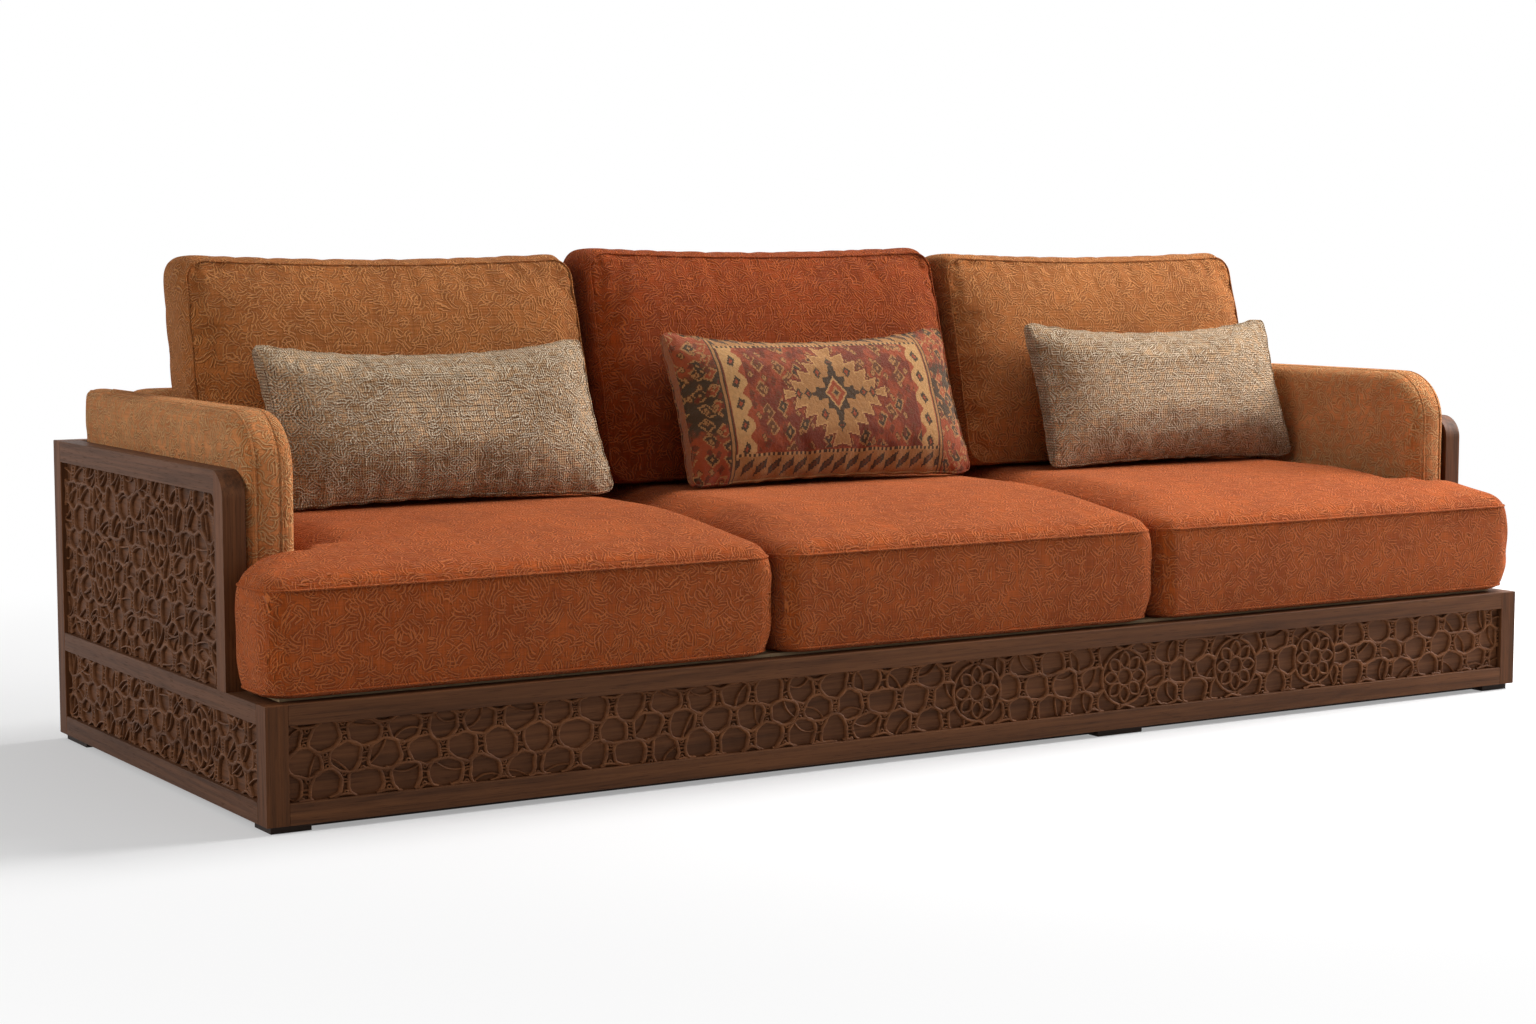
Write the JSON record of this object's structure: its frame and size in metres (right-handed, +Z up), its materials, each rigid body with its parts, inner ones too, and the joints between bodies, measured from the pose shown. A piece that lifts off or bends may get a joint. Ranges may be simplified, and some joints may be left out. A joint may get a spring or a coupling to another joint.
{
  "type": "sofa",
  "caption": "Long banquette sofa with a carved walnut plinth and arm frames, a padded arm and back wrap, loose seat and back cushions and lumbar pillows",
  "frame": {"origin": "on the floor, under the middle of the overall width and depth", "axes": "+X to the right end as seen from the front, +Y from the front rail towards the back frame, +Z up"},
  "size_m": [2.72, 1.015, 0.9043],
  "materials": {
    "walnut": "satin oiled walnut with fine straight grain",
    "carved_walnut": "satin oiled walnut, carved",
    "walnut_board": "satin oiled walnut board",
    "inner_timber": "unfinished softwood and plywood",
    "dark_foot": "dark stained wood",
    "caramel_chenille": "caramel chenille with an embossed squiggle relief",
    "rust_chenille": "rust velvet chenille with an embossed squiggle relief",
    "rust_back_chenille": "rust velvet chenille with an embossed squiggle relief",
    "tan_chenille": "tan chenille with an embossed squiggle relief",
    "taupe_weave": "taupe chunky weave with a raised squiggle relief",
    "kilim_weave": "flat rug weave in rust, tan, cream and charcoal"
  },
  "bodies": {
    "frame": {"front_left_post": "walnut", "front_right_post": "walnut", "rear_left_post": "walnut", "rear_right_post": "walnut", "front_top_rail": "walnut", "front_bottom_rail": "walnut", "front_board": "walnut_board", "front_fret": "carved_walnut", "left_base_top_rail": "walnut", "left_base_bottom_rail": "walnut", "left_base_board": "walnut_board", "left_base_fret": "carved_walnut", "right_base_top_rail": "walnut", "right_base_bottom_rail": "walnut", "right_base_board": "walnut_board", "right_base_fret": "carved_walnut", "back_mid_rail": "walnut", "back_bottom_rail": "walnut", "back_base_board": "walnut_board", "left_arm_stile": "walnut", "left_arm_top_rail": "walnut", "left_arm_board": "walnut_board", "left_arm_fret": "carved_walnut", "right_arm_stile": "walnut", "right_arm_top_rail": "walnut", "right_arm_board": "walnut_board", "right_arm_fret": "carved_walnut", "back_top_rail": "walnut", "back_left_muntin": "walnut", "back_right_muntin": "walnut", "back_board": "walnut_board", "front_bearer": "inner_timber", "rear_bearer": "inner_timber", "left_bearer": "inner_timber", "right_bearer": "inner_timber", "left_cross_bearer": "inner_timber", "middle_cross_bearer": "inner_timber", "right_cross_bearer": "inner_timber", "left_deck": "inner_timber", "middle_deck": "inner_timber", "right_deck": "inner_timber", "front_left_foot": "dark_foot", "front_right_foot": "dark_foot", "rear_left_foot": "dark_foot", "rear_right_foot": "dark_foot", "front_middle_foot": "dark_foot", "rear_middle_foot": "dark_foot", "front_toe_strip": "dark_foot", "left_arm_pad": "caramel_chenille", "right_arm_pad": "caramel_chenille", "back_pad": "caramel_chenille"},
    "left_seat": {"left_seat_cushion": "rust_chenille"},
    "left_back": {"left_back_cushion": "tan_chenille"},
    "left_lumbar": {"left_pillow": "taupe_weave"},
    "middle_seat": {"middle_seat_cushion": "rust_chenille"},
    "middle_back": {"middle_back_cushion": "rust_back_chenille"},
    "middle_lumbar": {"middle_pillow": "kilim_weave"},
    "right_seat": {"right_seat_cushion": "rust_chenille"},
    "right_back": {"right_back_cushion": "tan_chenille"},
    "right_lumbar": {"right_pillow": "taupe_weave"}
  },
  "joints": [
    {"name": "left_seat_lift", "type": "slide", "parent": "frame", "child": "left_seat", "axis": [0, 0, 1], "range_m": [0, 0.25]},
    {"name": "left_back_lift", "type": "slide", "parent": "left_seat", "child": "left_back", "axis": [0, 0.2588, 0.9659], "range_m": [0, 0.3]},
    {"name": "left_pillow_lift", "type": "slide", "parent": "left_seat", "child": "left_lumbar", "axis": [0, -0.5, 0.866], "range_m": [0, 0.25]},
    {"name": "middle_seat_lift", "type": "slide", "parent": "frame", "child": "middle_seat", "axis": [0, 0, 1], "range_m": [0, 0.25]},
    {"name": "middle_back_lift", "type": "slide", "parent": "middle_seat", "child": "middle_back", "axis": [0, 0.2588, 0.9659], "range_m": [0, 0.3]},
    {"name": "middle_pillow_lift", "type": "slide", "parent": "middle_seat", "child": "middle_lumbar", "axis": [0, -0.5, 0.866], "range_m": [0, 0.25]},
    {"name": "right_seat_lift", "type": "slide", "parent": "frame", "child": "right_seat", "axis": [0, 0, 1], "range_m": [0, 0.25]},
    {"name": "right_back_lift", "type": "slide", "parent": "right_seat", "child": "right_back", "axis": [0, 0.2588, 0.9659], "range_m": [0, 0.3]},
    {"name": "right_pillow_lift", "type": "slide", "parent": "right_seat", "child": "right_lumbar", "axis": [0, -0.5, 0.866], "range_m": [0, 0.25]}
  ]
}
